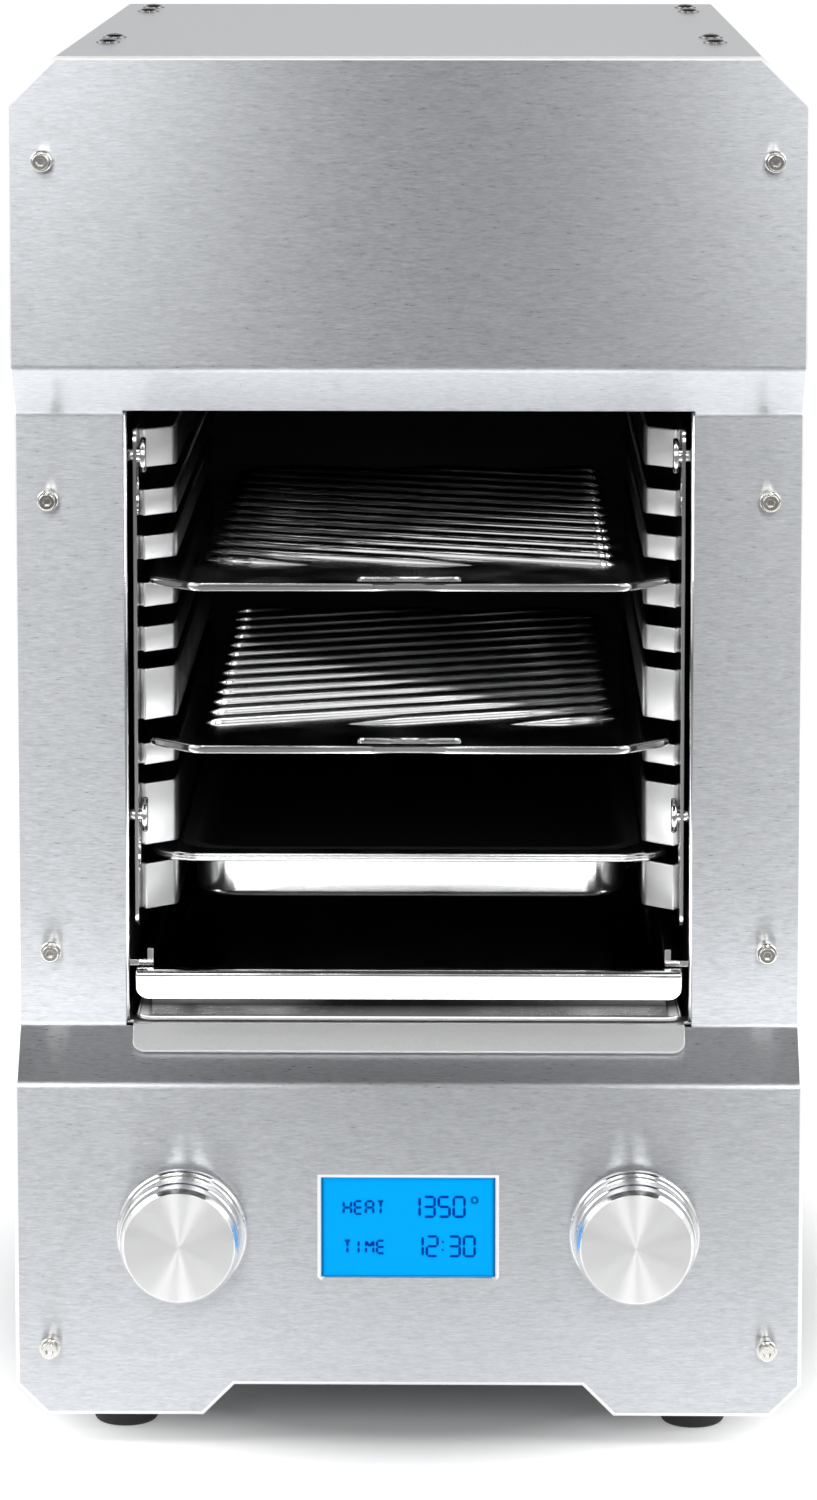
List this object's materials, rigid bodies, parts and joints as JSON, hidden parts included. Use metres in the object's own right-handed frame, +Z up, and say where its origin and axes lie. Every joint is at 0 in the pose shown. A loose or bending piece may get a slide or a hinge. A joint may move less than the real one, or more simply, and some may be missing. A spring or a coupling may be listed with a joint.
{
  "type": "electric broiler",
  "caption": "Tall stainless electric broiler with a bent faceplate, open rack chamber under a top heater, ribbed grill plates, pan, drip tray, push-and-turn knobs and a lit display.",
  "frame": {"origin": "centre of the bounding box's footprint, on the floor under the rubber feet", "axes": "+X to the viewer's right, -Y out of the front, +Z up"},
  "size_m": [0.265, 0.415, 0.4704],
  "materials": {
    "brushed_panel": "brushed with a horizontal grain",
    "sheet_steel": "mill finish",
    "dark_liner": "satin black enamel",
    "polished_steel": "polished",
    "screw_steel": "polished",
    "spun_aluminium": "spun and polished",
    "rubber": "matte",
    "black_plastic": "matte",
    "clear_window": "clear",
    "backlit_panel": "backlit blue",
    "circuit_board": "solder mask",
    "brass": "turned",
    "ceramic": "unglazed",
    "fibre_blanket": "ceramic fibre",
    "element_sheath": "heat-darkened alloy",
    "lead_sleeve": "glass-fibre sleeve"
  },
  "bodies": {
    "cabinet": {"back_panel": "sheet_steel", "base_pan": "sheet_steel", "board_standoffs": "brass", "chamber_back": "dark_liner", "chamber_floor": "brushed_panel", "chamber_wall_left": "dark_liner", "chamber_wall_right": "dark_liner", "control_board": "circuit_board", "cord_gland": "black_plastic", "cover": "brushed_panel", "display_frame": "black_plastic", "display_lens": "clear_window", "element_supports": "screw_steel", "element_terminals": "ceramic", "encoder_left": "black_plastic", "encoder_nuts": "screw_steel", "encoder_right": "black_plastic", "foot_screws": "screw_steel", "frame_upright_left": "sheet_steel", "frame_upright_right": "sheet_steel", "front_plate": "brushed_panel", "front_screws": "screw_steel", "hanger_brackets": "sheet_steel", "heat_shield": "sheet_steel", "heater_leads": "lead_sleeve", "heater_reflector": "polished_steel", "heating_element": "element_sheath", "insulation_floor": "fibre_blanket", "insulation_left": "fibre_blanket", "insulation_rear": "fibre_blanket", "insulation_right": "fibre_blanket", "insulation_top": "fibre_blanket", "lcd_module": "backlit_panel", "power_board": "circuit_board", "rack_plate_left": "polished_steel", "rack_plate_right": "polished_steel", "rack_rungs_left": "polished_steel", "rack_rungs_right": "polished_steel", "rack_studs": "polished_steel", "rear_screws": "screw_steel", "relays": "black_plastic", "rubber_feet": "rubber", "screw_collars": "screw_steel", "terminal_block": "ceramic", "thermal_cutout": "black_plastic", "thermocouple": "screw_steel", "top_rivets": "screw_steel", "tray_guide_left": "polished_steel", "tray_guide_right": "polished_steel", "weld_nuts": "screw_steel"},
    "left_rotor": {"encoder_rotor_left": "black_plastic"},
    "left_knob": {"knob_left": "spun_aluminium", "encoder_shaft_left": "screw_steel"},
    "right_rotor": {"encoder_rotor_right": "black_plastic"},
    "right_knob": {"knob_right": "spun_aluminium", "encoder_shaft_right": "screw_steel"},
    "upper_plate": {"upper_grill_plate": "polished_steel"},
    "lower_plate": {"lower_grill_plate": "polished_steel"},
    "pan": {"pan": "polished_steel"},
    "drip_tray": {"drip_tray": "polished_steel"}
  },
  "joints": [
    {"name": "left_knob_turn", "type": "hinge", "parent": "cabinet", "child": "left_rotor", "pos_m": [-0.076, -0.1855, 0.074], "axis": [0, 1, 0], "continuous": true},
    {"name": "left_knob_push", "type": "slide", "parent": "left_rotor", "child": "left_knob", "axis": [0, 1, 0], "range_m": [0, 0.0015], "stiffness_N_per_m": 2500},
    {"name": "right_knob_turn", "type": "hinge", "parent": "cabinet", "child": "right_rotor", "pos_m": [0.076, -0.1855, 0.074], "axis": [0, 1, 0], "continuous": true},
    {"name": "right_knob_push", "type": "slide", "parent": "right_rotor", "child": "right_knob", "axis": [0, 1, 0], "range_m": [0, 0.0015], "stiffness_N_per_m": 2500},
    {"name": "upper_plate_slide", "type": "slide", "parent": "cabinet", "child": "upper_plate", "axis": [0, -1, 0], "range_m": [0, 0.3]},
    {"name": "lower_plate_slide", "type": "slide", "parent": "cabinet", "child": "lower_plate", "axis": [0, -1, 0], "range_m": [0, 0.3]},
    {"name": "pan_slide", "type": "slide", "parent": "cabinet", "child": "pan", "axis": [0, -1, 0], "range_m": [0, 0.275]},
    {"name": "drip_tray_slide", "type": "slide", "parent": "cabinet", "child": "drip_tray", "axis": [0, -1, 0], "range_m": [0, 0.3]}
  ]
}
